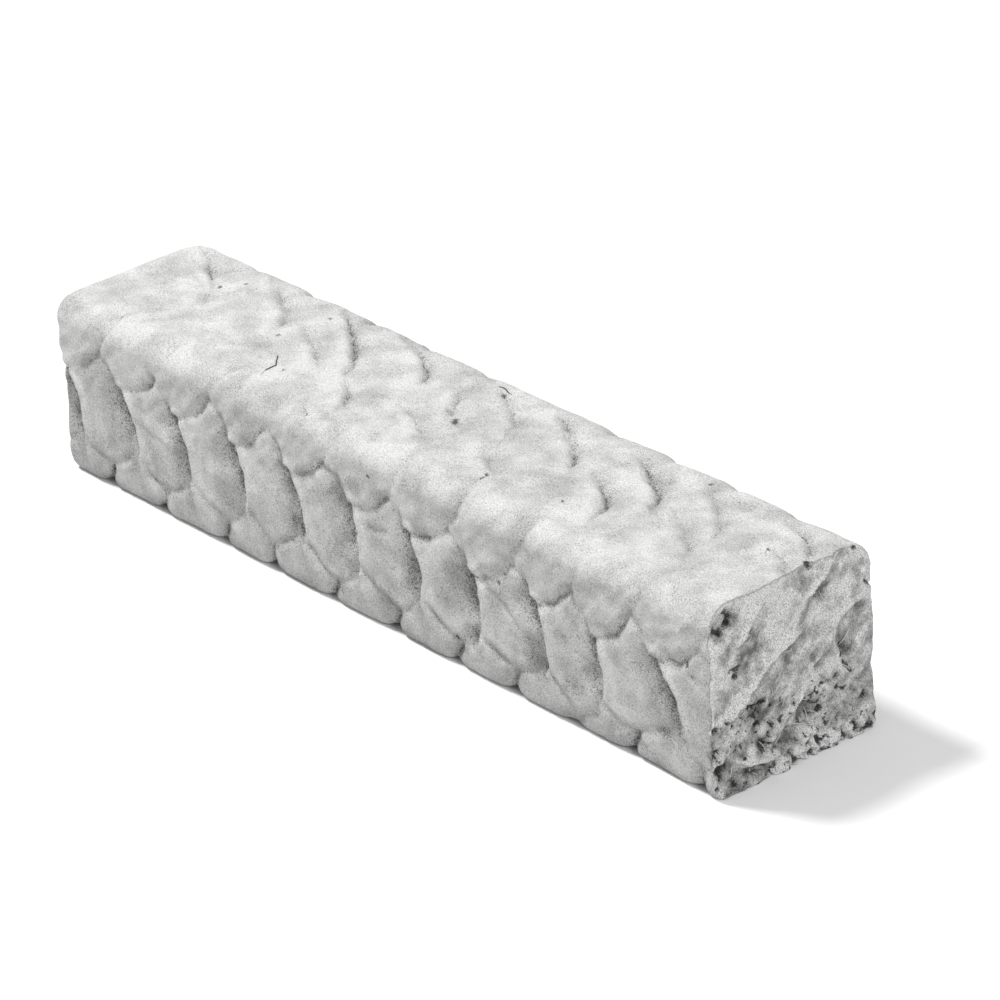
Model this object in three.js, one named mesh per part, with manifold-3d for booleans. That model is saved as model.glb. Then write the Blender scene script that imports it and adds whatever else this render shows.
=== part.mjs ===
// A straight cut length of square braided gland packing, in millimetres.
// +X runs along the packing towards the cut end, +Z is up, and the origin is the middle of the underside.

import * as THREE from 'three';
import { mergeVertices } from 'three/addons/utils/BufferGeometryUtils.js';
import Module from 'manifold-3d';

// The section as it leaves the calender rolls, and the length that was cut.
const width = 25;
const height = 24;
const length = 120;
const cornerRadius = 4;

// The rolls' own corner is sharper than the braid, so it leaves the strands there unpressed.
const rollCornerRadius = 3;

// How far one stitch is from the next along the packing.
const pitch = 11.2;
const topPitch = 13.3;

// A flattened strand: its thickness, how far its crown stands past the section before it is pressed,
// the depth of the deepest crease, and how far a strand's rim goes on down into the braid.
const strandThickness = 3;
const crownPress = 0.12;
const creaseDepth = 1.1;
const rimBury = 0.85;

// The outline of a stitch: the share of its width that it loses at its tips, the share of its length
// that it loses at its edges, and how late its crown falls away towards the tips.
const tipNarrowing = 0.45;
const edgeShortening = 0.11;
const tipFullness = 6;

// Stitches over a corner, along the middle of a side, and along the middle of the top and underside.
// Each has its length along the strand, its width across it, its lean in degrees from straight round
// the section, its bow along the packing, its tilt, and the steps that it is faceted in lengthwise.
const cornerStitch = { long: 24, wide: 9.4, lean: 50, bow: 0.6, tilt: 0.25, steps: 7 };
const sideStitch = { long: 16.5, wide: 12, lean: -16, bow: 0.8, tilt: 0.35, steps: 4 };
const topStitch = { long: 22, wide: 10.6, lean: -52, bow: 1.6, tilt: 0.3, steps: 5 };

// How far round a face the middle rows lie, as a share of it, and how far the row over the upper front
// corner lies past the corner, on the top.
const frontMiddle = 0.46;
const topMiddle = 0.58;
const topFrontShift = 0.7;

// Where each row's first stitch lies, measured back from the cut end.
const topFrontStart = 0.5;
const topBackStart = 3.5;
const bottomFrontStart = 6.7;
const bottomBackStart = 1.8;
const frontStart = 2.8;
const backStart = 8.2;
const topStart = 11.7;
const undersideStart = 7.5;

// The braid is uneven: the most that a stitch strays along the packing, and in its lean in degrees,
// and how fast the straying changes from stitch to stitch and from row to row.
const straying = 0.7;
const leanStraying = 3;
const strayTurn = 1.9;
const rowTurn = 2.3;
const leanTurn = 2.7;

// Hollows in the cut end, where strands were sheared at a slant or pulled away. Each is across from
// the front face and up from the underside at its middle, with its size along and across its slant.
const hollowSlant = 42;
const hollowDepth = 0.8;
const cutHollows = [
  { across: 5.5, up: 18.2, long: 12, wide: 3.2 },
  { across: 13.5, up: 20.4, long: 11, wide: 2.8 },
  { across: 9.4, up: 10.6, long: 13, wide: 4.2 },
  { across: 18.6, up: 14.2, long: 12, wide: 3.4 },
  { across: 16.2, up: 6.4, long: 13, wide: 4.4 },
  { across: 7.2, up: 3.6, long: 8, wide: 2.6 },
];

// The tear at the cut end's upper front corner, and the pluck marks along its lower edge.
const tear = { across: 1.8, up: 21.4, long: 5, wide: 3, depth: 1.5 };
const pluckDepth = 1;
const plucks = [
  { across: 3.6, up: 0.6, long: 5, wide: 2.2 },
  { across: 11.5, up: 0.3, long: 4, wide: 1.8 },
  { across: 17.8, up: 0.5, long: 4.5, wide: 2 },
];

// How finely a stitch is faceted across the strand, the section round a corner, and a hollow.
const stepsAcross = 4;
const cornerSteps = 4;
const hollowSides = 8;
const hollowRings = 6;

const arc = cornerRadius * Math.PI / 2;
const sideSpan = height - 2 * cornerRadius + arc;
const topSpan = width - 2 * cornerRadius + arc;

// The four faces in the order in which the outline is walked, from the lower front corner upwards.
const faces = [
  { y: -width / 2, z: 0, along: [0, 1], out: [-1, 0], span: sideSpan },
  { y: -width / 2, z: height, along: [1, 0], out: [0, 1], span: topSpan },
  { y: width / 2, z: height, along: [0, -1], out: [1, 0], span: sideSpan },
  { y: width / 2, z: 0, along: [-1, 0], out: [0, -1], span: topSpan },
];
const girth = 2 * (sideSpan + topSpan);

// A place on the packing: around the outline, along the length, and outwards from the pressed surface.
function onPacking(around, x, outwards) {
  let left = ((around % girth) + girth) % girth;
  let face = faces[0];
  for (face of faces) {
    if (left < face.span) break;
    left -= face.span;
  }
  const intoStart = arc / 2 - left;
  const intoEnd = left - (face.span - arc / 2);
  const flat = face.span - arc;
  const bend = intoStart > 0 ? -intoStart / cornerRadius : Math.max(intoEnd, 0) / cornerRadius;
  const run = THREE.MathUtils.clamp(left - arc / 2, 0, flat);
  const radius = cornerRadius + outwards;
  const alongFace = cornerRadius + run + radius * Math.sin(bend);
  const outOfFace = -cornerRadius + radius * Math.cos(bend);
  return new THREE.Vector3(
    x,
    face.y + alongFace * face.along[0] + outOfFace * face.out[0],
    face.z + alongFace * face.along[1] + outOfFace * face.out[1],
  );
}

const wasm = await Module();
wasm.setup();

function toSolid(geometry) {
  const bare = geometry.clone();
  bare.deleteAttribute('normal');
  bare.deleteAttribute('uv');
  const merged = mergeVertices(bare, 1e-4);
  return new wasm.Manifold(new wasm.Mesh({
    numProp: 3,
    vertProperties: new Float32Array(merged.attributes.position.array),
    triVerts: new Uint32Array(merged.index.array),
  }));
}

function toGeometry(solid) {
  const mesh = solid.getMesh();
  const geometry = new THREE.BufferGeometry();
  geometry.setAttribute('position', new THREE.BufferAttribute(new Float32Array(mesh.vertProperties), 3));
  geometry.setIndex(new THREE.BufferAttribute(new Uint32Array(mesh.triVerts), 1));
  geometry.computeVertexNormals();
  return geometry;
}

// A bar of the packing's section, drawn in by a distance all round, with its ends at x = from and x = to.
function sectionBar(inset, radius, from, to) {
  const y = width / 2 - inset;
  const low = inset;
  const high = height - inset;
  const outline = new THREE.Shape();
  outline.moveTo(-y + radius, low);
  outline.lineTo(y - radius, low);
  outline.absarc(y - radius, low + radius, radius, -Math.PI / 2, 0);
  outline.lineTo(y, high - radius);
  outline.absarc(y - radius, high - radius, radius, 0, Math.PI / 2);
  outline.lineTo(-y + radius, high);
  outline.absarc(-y + radius, high - radius, radius, Math.PI / 2, Math.PI);
  outline.lineTo(-y, low + radius);
  outline.absarc(-y + radius, low + radius, radius, Math.PI, 1.5 * Math.PI);
  const bar = new THREE.ExtrudeGeometry(outline, {
    depth: to - from,
    bevelEnabled: false,
    curveSegments: cornerSteps,
  });
  bar.rotateY(Math.PI / 2);
  bar.rotateX(Math.PI / 2);
  bar.translate(from, 0, 0);
  return toSolid(bar);
}

// One stitch: a pillow of flattened strand, bowed and tilted a little, wrapped round the outline
// where it surfaces. Its rim and its underside stay buried in the core.
function stitch(kind, middle, x, lean) {
  const pillow = new THREE.BoxGeometry(2, 2, 2, stepsAcross, kind.steps, 1);
  const place = pillow.attributes.position;
  const turn = THREE.MathUtils.degToRad(lean);
  for (let i = 0; i < place.count; i += 1) {
    const side = place.getX(i);
    const tip = place.getY(i);
    const narrowing = Math.sqrt(1 - tipNarrowing * tip * tip);
    const alongStrand = kind.long / 2 * tip * (1 - edgeShortening * side * side);
    const acrossStrand = kind.wide / 2 * side * narrowing + kind.bow * (1 - tip * tip);
    const fall = Math.max(side * side, Math.abs(tip) ** tipFullness);
    const crown = crownPress - (creaseDepth + rimBury) * fall - kind.tilt * side;
    const outwards = place.getZ(i) > 0 ? crown : -strandThickness;
    const around = middle + alongStrand * Math.cos(turn) - acrossStrand * Math.sin(turn);
    const at = x + alongStrand * Math.sin(turn) + acrossStrand * Math.cos(turn);
    place.setXYZ(i, ...onPacking(around, at, outwards));
  }
  return toSolid(pillow);
}

// A long shallow lens of fibre that is missing from the cut end.
function hollow(place, slant, depth) {
  const lens = new THREE.SphereGeometry(1, hollowSides, hollowRings);
  lens.scale(depth, place.long / 2, place.wide / 2);
  lens.rotateX(THREE.MathUtils.degToRad(slant));
  lens.translate(length / 2, place.across - width / 2, place.up);
  return toSolid(lens);
}

const rows = [
  { kind: cornerStitch, middle: 0, start: bottomFrontStart, pitch },
  { kind: sideStitch, middle: frontMiddle * sideSpan, start: frontStart, pitch },
  { kind: cornerStitch, middle: sideSpan + topFrontShift, start: topFrontStart, pitch },
  { kind: topStitch, middle: sideSpan + topMiddle * topSpan, start: topStart, pitch: topPitch },
  { kind: cornerStitch, middle: sideSpan + topSpan, start: topBackStart, pitch },
  { kind: sideStitch, middle: 1.5 * sideSpan + topSpan, start: backStart, pitch },
  { kind: cornerStitch, middle: 2 * sideSpan + topSpan, start: bottomBackStart, pitch },
  { kind: topStitch, middle: 2 * sideSpan + 1.5 * topSpan, start: undersideStart, pitch: topPitch },
];

const nearEnd = length / 2;
const farEnd = -length / 2;
let braid = sectionBar(creaseDepth, cornerRadius - creaseDepth, farEnd, nearEnd);
rows.forEach((row, rowNumber) => {
  const reach = row.kind.long / 2;
  const first = -Math.ceil((reach + row.start) / row.pitch);
  const last = Math.ceil((length + reach - row.start) / row.pitch);
  for (let k = first; k <= last; k += 1) {
    const stray = Math.sin(strayTurn * k + rowTurn * rowNumber);
    const x = nearEnd - row.start - k * row.pitch + straying * stray;
    const lean = row.kind.lean + leanStraying * Math.sin(leanTurn * k + rowNumber);
    braid = braid.add(stitch(row.kind, row.middle, x, lean));
  }
});
braid = braid.intersect(sectionBar(0, rollCornerRadius, farEnd, nearEnd));

for (const place of cutHollows) braid = braid.subtract(hollow(place, hollowSlant, hollowDepth));
for (const place of plucks) braid = braid.subtract(hollow(place, 0, pluckDepth));
braid = braid.subtract(hollow(tear, hollowSlant, tear.depth));

const packing = new THREE.Mesh(
  toGeometry(braid),
  new THREE.MeshStandardMaterial({ color: 0xdcdcda, roughness: 0.95, metalness: 0 }),
);
packing.name = 'braided_packing';

const model = new THREE.Group();
model.add(packing);

export default model;
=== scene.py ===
import itertools
import math

import bpy
import numpy as np
from mathutils import Matrix, Vector


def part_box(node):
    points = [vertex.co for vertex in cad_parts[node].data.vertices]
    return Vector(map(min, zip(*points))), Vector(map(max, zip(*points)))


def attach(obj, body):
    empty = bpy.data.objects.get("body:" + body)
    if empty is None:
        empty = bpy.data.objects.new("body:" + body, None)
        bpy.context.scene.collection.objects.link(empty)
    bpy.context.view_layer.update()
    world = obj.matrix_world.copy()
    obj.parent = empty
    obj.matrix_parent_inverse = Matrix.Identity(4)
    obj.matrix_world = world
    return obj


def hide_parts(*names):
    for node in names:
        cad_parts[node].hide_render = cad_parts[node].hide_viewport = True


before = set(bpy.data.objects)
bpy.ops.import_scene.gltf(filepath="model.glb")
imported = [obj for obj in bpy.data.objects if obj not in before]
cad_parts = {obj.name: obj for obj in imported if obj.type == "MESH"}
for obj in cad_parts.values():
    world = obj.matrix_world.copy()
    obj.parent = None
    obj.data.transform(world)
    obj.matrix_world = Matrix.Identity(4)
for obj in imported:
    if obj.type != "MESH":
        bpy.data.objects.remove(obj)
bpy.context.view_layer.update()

low, high = (np.array(corner) * 1000 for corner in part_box("braided_packing"))

# The braid. A straight length of square gland packing: strands of pale fibre are interlaced, some leaning
# one way over the corners and some the other way along the faces, then pressed square by rolls and dusted.
# All its sizes are in millimetres until the mesh is made.
WIDTH = high[1] - low[1]
HEIGHT = high[2] - low[2]
NEAR_END = high[0]
FAR_END = low[0]
CORNER_RADIUS = 3
ARC = CORNER_RADIUS * math.pi / 2
SIDE_SPAN = HEIGHT - 2 * CORNER_RADIUS + ARC
TOP_SPAN = WIDTH - 2 * CORNER_RADIUS + ARC
HALF_GIRTH = SIDE_SPAN + TOP_SPAN
GIRTH = 2 * HALF_GIRTH

# Each face of the section: its first corner, the way along it and the way out of it, as (y, z), and its
# span. They are walked from the lower front corner: up the front, over the top, down the back and underneath.
FACES = [
    ((-WIDTH / 2, 0), (0, 1), (-1, 0), SIDE_SPAN),
    ((-WIDTH / 2, HEIGHT), (1, 0), (0, 1), TOP_SPAN),
    ((WIDTH / 2, HEIGHT), (0, -1), (1, 0), SIDE_SPAN),
    ((WIDTH / 2, 0), (-1, 0), (0, -1), TOP_SPAN),
]

# A point on the flat of a face lies this much further along the walk than from the face's own edge.
EDGE_TO_WALK = ARC / 2 - CORNER_RADIUS


def on_section(walked, out):
    """Y and Z of places on the section, given how far round they are and how far out of the surface."""
    left = np.mod(walked, GIRTH)
    y = np.zeros_like(left)
    z = np.zeros_like(left)
    start = 0.0
    for corner, along, outward, span in FACES:
        here = (left >= start) & (left < start + span)
        run = left[here] - start
        bend = np.where(run < ARC / 2, run - ARC / 2, np.maximum(run - (span - ARC / 2), 0)) / CORNER_RADIUS
        flat = np.clip(run - ARC / 2, 0, span - ARC)
        radius = CORNER_RADIUS + out[here]
        forward = CORNER_RADIUS + flat + radius * np.sin(bend)
        proud = -CORNER_RADIUS + radius * np.cos(bend)
        y[here] = corner[0] + forward * along[0] + proud * outward[0]
        z[here] = corner[1] + forward * along[1] + proud * outward[1]
        start += span
    return y, z


def lumps(places, size, seed):
    """Smooth noise from -1 to 1 over places in millimetres, with lumps about size across."""
    cell = np.asarray(places) / size
    base = np.floor(cell).astype(np.int64)
    part = cell - base
    ease = part * part * (3 - 2 * part)
    table = np.random.default_rng(seed).uniform(-1, 1, 4096)
    steps = np.array([73856093, 19349663, 83492791])[: cell.shape[1]]
    total = np.zeros(len(cell))
    for corner in itertools.product((0, 1), repeat=cell.shape[1]):
        weight = np.prod(np.where(corner, ease, 1 - ease), axis=1)
        pick = ((base + corner) * steps).sum(axis=1) % 4096
        total += weight * table[pick]
    return total


def distance_to(line, across, up):
    """Distance of places from a line of straight stretches, how far along it, and 1 or -1 for the side."""
    nearest = np.full(len(across), 99.0)
    share_along = np.zeros(len(across))
    side = np.ones(len(across))
    for number, ((a0, u0), (a1, u1)) in enumerate(zip(line, line[1:])):
        run_a, run_u = a1 - a0, u1 - u0
        share = np.clip(((across - a0) * run_a + (up - u0) * run_u) / (run_a**2 + run_u**2), 0, 1)
        gap = np.hypot(across - a0 - share * run_a, up - u0 - share * run_u)
        closer = gap < nearest
        nearest = np.where(closer, gap, nearest)
        share_along = np.where(closer, (number + share) / (len(line) - 1), share_along)
        side = np.where(closer, np.sign(run_a * (up - u0) - run_u * (across - a0)), side)
    return nearest, share_along, side


# Where the strands meet. The strands over the upper front corner end on the front in tongues, and each
# tongue's tip is given by how far back from the cut end and how far up it is, and by how far the crease
# that runs down from it leans towards the cut end. Past the photograph they go on evenly.
TONGUES = [
    (-1.5, 14.4, 2.4), (9.7, 14.6, 4.6), (20.0, 12.9, 1.6), (30.2, 13.8, 1.8), (41.2, 13.6, 1.6),
    (52.3, 14.7, 2.0), (63.3, 14.8, 2.0), (74.5, 15.2, 2.0), (85.2, 15.1, 1.4), (96.8, 14.6, 3.0),
    (107.9, 14.6, 2.2), (119.0, 14.4, 2.0), (130.1, 14.6, 2.0),
]

# The near edges of the strands along the top: three places on each, how far back from the cut end and how
# far in from the front edge, and the depth of its crease.
CRESCENTS = [
    ((8.6, 20.8), (4.2, 19.0), (1.4, 16.0), 0.45),
    ((21.5, 20.0), (16.6, 17.4), (13.6, 13.8), 0.5),
    ((34.6, 20.6), (27.6, 17.2), (23.6, 13.2), 0.6),
    ((49.2, 21.6), (41.8, 17.3), (38.2, 13.2), 0.6),
    ((58.0, 20.6), (52.4, 17.6), (50.0, 14.6), 0.5),
    ((78.8, 22.8), (70.6, 19.4), (67.4, 14.4), 0.6),
    ((89.4, 22.4), (81.6, 17.2), (76.9, 11.8), 0.65),
    ((103.4, 21.8), (95.5, 17.6), (92.6, 13.0), 0.55),
    ((117.0, 21.6), (109.5, 17.2), (106.0, 12.6), 0.5),
    ((62.2, 18.8), (60.4, 14.6), (56.0, 11.5), 0.45),
    ((34.6, 14.2), (29.6, 11.6), (26.8, 7.2), 0.7),
    ((20.4, 13.6), (15.6, 11.0), (12.2, 7.4), 0.35),
    ((6.0, 15.6), (2.6, 14.0), (-0.5, 10.5), 0.35),
    ((49.0, 9.6), (44.8, 7.4), (41.6, 5.2), 0.35),
    ((64.6, 10.6), (59.4, 8.6), (56.2, 6.0), 0.3),
    ((73.8, 9.6), (71.2, 7.8), (69.8, 5.2), 0.45),
    ((90.0, 15.4), (84.6, 13.4), (80.0, 10.2), 0.4),
    ((110.6, 15.6), (107.2, 14.0), (104.8, 12.0), 0.4),
]

# Faint short creases near the top's two long edges, each from one place to another.
EDGE_MARKS = [
    ((8.4, 4.6), (7.0, 0.4)), ((22.8, 4.4), (22.2, 0.2)), ((43.4, 6.4), (43.0, 2.4)),
    ((53.4, 3.4), (52.6, 0)), ((61.2, 4.0), (59.4, 2.5)), ((69.8, 3.4), (67.2, 2.0)),
    ((74.4, 4.0), (71.4, 1.0)), ((84.8, 4.0), (83.8, 0)), ((98.4, 3.0), (97.2, 0)),
    ((14.6, 23.0), (15.0, 18.8)), ((26.4, 20.0), (27.0, 18.0)), ((35.8, 23.6), (36.4, 21.0)),
    ((52.4, 24.0), (52.0, 21.6)), ((65.0, 23.0), (60.0, 22.2)),
]

# A crease: how deep it is, how far it takes to rise from it on the side away from the cut end and on the
# side nearer to it, how much of its depth is left at its lower and its upper end, and how high a lip stands
# on its nearer side. A strand slopes down gently to the next one's edge, which stands up sharply.
SHINGLED = dict(depth=0.9, away=2.8, nearer=0.5, ends=(0.7, 1), lip=0.3)
BUTTED = dict(depth=0.36, away=0.8, nearer=0.7, ends=(0.7, 1), lip=0.05)
FAINT = dict(depth=0.35, away=1.0, nearer=0.4, ends=(0.2, 0.2), lip=0.06)
CRESCENT = dict(depth=1, away=1.3, nearer=0.3, ends=(0.5, 0.5), lip=0.13)

# The other places where a side's creases meet. The heel at the foot of the crease under a tongue's tip, the
# toe of the lobe under that and the crook where two tongues part are given from the tip, as (back, walked).
# The notch is given back from the tip and round from the lower edge. Each of them strays by so much.
HEEL_DROP = 7.4
TOE = (2.9, -10.9)
CROOK = (3.8, 4.2)
NOTCH_BACK = 4.3
NOTCH_WALKED = -0.2
STRAYING = 0.7


def side_creases(tongues, notch_depth):
    """Creases of a side and its corners, as lines of (back from the cut end, walked), from low to high."""
    found = []
    stray = np.random.default_rng(4).uniform(-STRAYING, STRAYING, (len(tongues), 4, 2))
    tips = [np.array([back, up + EDGE_TO_WALK]) for back, up, _ in tongues]
    heels = [tip + (-drift, -HEEL_DROP) + off[0] for tip, (_, _, drift), off in zip(tips, tongues, stray)]
    toes = [tip + TOE + off[1] for tip, off in zip(tips, stray)]
    crooks = [tip + CROOK + off[2] for tip, off in zip(tips, stray)]
    notches = [np.array([tip[0] + NOTCH_BACK, NOTCH_WALKED]) + off[3] for tip, off in zip(tips, stray)]
    for number, (tip, heel, toe, crook, notch) in enumerate(zip(tips, heels, toes, crooks, notches)):
        found.append(([heel, (heel + tip) / 2 + (-0.5, 0.6), tip], SHINGLED))
        found.append(([tip, tip + (1.5, 2.3), crook], BUTTED))
        found.append(([crook, crook + (-1.6, 2.6), crook + (-2.6, 5.4), crook + (-2.9, 8)],
                      dict(FAINT, depth=0.32, ends=(1, 0.1))))
        found.append(([toe, toe + (-2.6, 1.2), heel], BUTTED))
        found.append(([notch, toe], dict(BUTTED, depth=0.9, ends=(1, 0.6))))
        found.append(([notch + (3.0, -6.0), notch], dict(BUTTED, depth=notch_depth, ends=(0, 1))))
        if number:
            nearer = crooks[number - 1]
            found.append(([tip, (tip + nearer) / 2 + (-0.4, -0.9), nearer], dict(BUTTED, depth=0.5)))
        if number + 1 < len(tongues):
            farther = heels[number + 1]
            found.append(([toe, (toe + farther) / 2 + (0.3, -0.5), farther], BUTTED))
    return found


def top_creases(crescents, marks):
    """Creases of the top, as lines of (back from the cut end, walked). A crescent's strand lies over the
    one that is nearer to the cut, so its line runs the other way, from high to low."""
    shift = SIDE_SPAN + EDGE_TO_WALK
    found = []
    for first, middle, last, depth in crescents:
        first, middle, last = (np.array(place) + (0, shift) for place in (first, middle, last))
        bow = 2 * middle - (first + last) / 2
        line = [(1 - t) ** 2 * first + 2 * t * (1 - t) * bow + t**2 * last for t in np.linspace(0, 1, 7)]
        found.append((line, dict(CRESCENT, depth=1.2 * depth)))
    for first, last in marks:
        found.append(([np.array(last) + (0, shift), np.array(first) + (0, shift)], FAINT))
    return found


def shifted(creases, back, walked):
    """The same creases, moved along the packing and round it."""
    return [([place + (back, walked) for place in line], kind) for line, kind in creases]


# Short folds within single strands of the front, as places back from the cut end and up from the underside.
FOLDS = [
    [(4.4, 14.9), (3.0, 15.1), (1.6, 13.9), (0.3, 12.0)],
    [(39.6, 15.4), (36.6, 15.9), (33.2, 15.6)], [(38.6, 13.4), (34.4, 11.4), (30.2, 6.8)],
    [(105.4, 12.0), (100.2, 10.6), (95.6, 8.9)], [(9.6, 13.0), (7.6, 11.4), (6.4, 8.2)],
    [(25.0, 12.4), (24.2, 10.2)], [(60.0, 13.2), (54.4, 14.4)],
]

# Darker patches of the front, partly painted shade where the strands meet and slope under each other and
# partly soiling: their middles, back and up, their half sizes and how dark they are.
SHADE_AND_SOIL = [
    (94.9, 11.1, 1.2, 2.4, 0.9), (84.9, 14.2, 1.1, 1.8, 0.9), (87.0, 7.2, 2.8, 1.8, 0.5),
    (74.4, 13.8, 1.1, 2.0, 0.9), (74.2, 8.4, 0.9, 4.0, 0.8), (67.0, 15.6, 2.4, 1.2, 0.7),
    (63.0, 11.4, 1.0, 1.8, 1.0), (67.0, 8.0, 4.2, 2.2, 0.55), (52.2, 10.4, 1.8, 4.0, 0.85),
    (40.2, 12.8, 0.9, 3.2, 0.7), (30.8, 13.6, 1.2, 2.4, 0.7), (30.0, 6.6, 2.0, 1.8, 0.8),
    (23.4, 5.6, 2.4, 2.4, 0.55), (20.3, 12.8, 1.2, 1.8, 0.9), (8.6, 11.4, 1.8, 4.6, 0.75),
    (8.2, 5.7, 1.2, 0.7, 1.2), (5.2, 7.6, 1.6, 1.6, 0.8), (56.0, 4.4, 1.8, 1.2, 0.8),
    (78.0, 3.8, 2.2, 1.2, 0.6), (99.6, 4.0, 2.0, 1.4, 0.6), (105.8, 6.0, 2.6, 2.0, 0.5),
    (43.6, 3.8, 2.0, 1.4, 0.7), (12.0, 2.2, 1.8, 1.2, 0.6), (66.2, 3.0, 1.8, 1.2, 0.7),
]

# Greyer patches of the top: their middles, back and in from the front edge, their half sizes and how dark.
GREY = [
    (54.4, 15.2, 3.4, 3.6, 0.35), (59.2, 13.6, 0.8, 1.8, 0.8), (56.6, 11.8, 1.0, 0.6, 0.9),
    (51.4, 17.8, 0.8, 1.6, 0.5), (72.4, 7.4, 2.2, 2.4, 0.35), (88.0, 15.6, 3.2, 1.6, 0.35),
    (92.4, 7.8, 3.0, 2.2, 0.25), (48.6, 9.2, 4.0, 3.4, 0.3), (36.2, 9.8, 2.6, 2.2, 0.25),
    (14.6, 16.2, 1.2, 1.2, 0.7), (17.0, 19.8, 2.4, 1.4, 0.3), (32.0, 18.6, 2.6, 1.4, 0.4),
    (42.2, 18.0, 1.2, 1.0, 0.7), (79.6, 17.8, 1.6, 1.6, 0.6), (5.0, 13.8, 2.6, 1.4, 0.4),
    (96.2, 19.0, 1.6, 1.4, 0.5), (108.6, 14.4, 2.0, 2.0, 0.4), (21.6, 7.2, 3.6, 2.0, 0.2),
    (44.6, 2.0, 3.6, 1.4, 0.25), (8.0, 5.4, 2.6, 1.8, 0.2),
]

# Pinholes in the top, back from the cut end and in from the front edge, and in the front, back and up.
TOP_PINHOLES = [
    (106.9, 16.4), (104.9, 19.0), (89.2, 19.8), (56.4, 11.7), (43.3, 4.5), (43.5, 5.5), (57.8, 20.7),
    (31.8, 6.8), (56.8, 12.3), (6.4, 15.1), (82.2, 6.6), (22.6, 21.6), (90.4, 12.4), (71.6, 1.4),
]
FRONT_PINHOLES = [(58.8, 20.3), (44.1, 4.2), (35.9, 14.5), (4.2, 16.0)]
PINHOLE_RADIUS = 0.3
PINHOLES = [(back, inward + SIDE_SPAN + EDGE_TO_WALK) for back, inward in TOP_PINHOLES]
PINHOLES += [(back, up + EDGE_TO_WALK) for back, up in FRONT_PINHOLES]


def side_marks(folds):
    """The folds, as faint creases from low to high."""
    return [([np.array([back, up + EDGE_TO_WALK]) for back, up in line[::-1]], FAINT) for line in folds]


# The back and the underside repeat the front and the top, because a braid looks the same turned half round.
# The notches in the back's upper edge are pressed nearly flat, and the ones in the front's lower edge aren't.
BACK_SHIFT = -4.6
OPEN_NOTCH = 0.9
PRESSED_NOTCH = 0.25
TOP = top_creases(CRESCENTS, EDGE_MARKS)
CREASES = side_creases(TONGUES, OPEN_NOTCH) + TOP + side_marks(FOLDS)
CREASES += shifted(side_creases(TONGUES, PRESSED_NOTCH) + TOP, BACK_SHIFT, HALF_GIRTH)

# How far the creases waver, widely and finely, each as how far it shifts them and its size. Then how far
# from a crease it is still felt, and how wide the soft swell beside it is.
WAVER = ((0.4, 2.6), (0.16, 0.9))
CREASE_REACH = 7
SWELL = 2.6


def wavering(values, places, wide, fine, seed):
    """Values shifted about by wide lumps and by fine ones."""
    values = values + wide[0] * lumps(places, wide[1], seed)
    return values + fine[0] * lumps(places, fine[1], seed + 1)


def crease_relief(walked, back, places):
    """How far the creases draw the surface in, how near each place is to one, which darkens it with dirt and
    painted shade, and how dull it is there, which is painted shade along each crease, widest on its side away
    from the cut end, less a painted highlight beside its lip.
    """
    walked = wavering(walked, places, *WAVER, 1)
    back = wavering(back, places, *WAVER, 3)
    unevenness = np.clip(0.95 + 0.6 * lumps(places, 2.6, 5), 0.5, 1.4)
    sharp = np.zeros(len(walked))
    swell = np.zeros(len(walked))
    lip = np.zeros(len(walked))
    inside = np.zeros(len(walked))
    pale = np.zeros(len(walked))
    for line, kind in CREASES:
        line = np.array(line)
        centre = (line.max(axis=0) + line.min(axis=0)) / 2
        reach = np.ptp(line, axis=0) / 2 + CREASE_REACH
        off = np.mod(walked - centre[1] + HALF_GIRTH, GIRTH) - HALF_GIRTH
        near = np.flatnonzero((np.abs(back - centre[0]) < reach[0]) & (np.abs(off) < reach[1]))
        gap, share, side = distance_to(line - centre, back[near] - centre[0], off[near])
        lower, upper = kind["ends"]
        depth = kind["depth"] * np.interp(share, (0, 0.3, 0.7, 1), (lower, 1, 1, upper)) * unevenness[near]
        width = np.where(side < 0, kind["away"], kind["nearer"])
        sharp[near] += (depth * np.exp(-((gap / width) ** 1.2))) ** 4
        swell[near] += (depth * np.exp(-gap / SWELL)) ** 3
        raised = kind["lip"] * np.exp(-(((gap - 1.1) / 0.6) ** 2)) * (side > 0)
        lip[near] = np.maximum(lip[near], raised * depth / kind["depth"])
        # A painted highlight beside each crease's lip, on its nearer side.
        lit_lip = 2.6 * kind["lip"] * np.exp(-(((gap - 1.3) / 1.2) ** 2)) * (side > 0)
        pale[near] = np.maximum(pale[near], lit_lip)
        inside[near] = np.maximum(inside[near], np.minimum(depth + 0.12, 1) * np.exp(-gap / (0.7 * width)))
    return sharp**0.25 + 0.26 * swell ** (1 / 3) - lip, inside, 0.9 * sharp**0.25 - pale


# The cut end. Strands were sheared at a slant, so some stand up as ridges, and fibre was pulled out between
# them. Places are across from the front side and up from the underside. The slant is in degrees, and what is
# placed on the cut wavers as the creases do.
CUT_SLANT = 42
CUT_WAVER = ((0.3, 1.7), (0.12, 0.6))

# A ridge: its line, and how high and how wide it is.
RIDGES = [
    ([(1.2, 8.4), (3, 9.6), (5, 11.2), (8, 13.4), (10, 14.8), (12, 15.6), (14.6, 16.4)], 0.9, 0.6),
    ([(4.6, 18.0), (6, 19.8), (7.8, 21.6), (10.2, 23.8)], 0.45, 0.6),
    ([(14.8, 19.8), (17, 20.8), (18.6, 22), (20, 24.2)], 0.55, 0.7),
    ([(2.6, 4.4), (4.2, 3.2), (6.4, 2.5), (9, 2.4)], 0.7, 0.7),
    ([(13.6, 9.6), (16.4, 11.4), (19, 14.2)], 0.3, 0.8),
    ([(19.4, 14.8), (21.8, 16.6), (24.2, 17.2)], 0.3, 0.8),
    ([(9.6, 4.2), (12.2, 6.2), (15.2, 9.0), (17.6, 9.6)], 0.4, 0.8),
]
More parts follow.
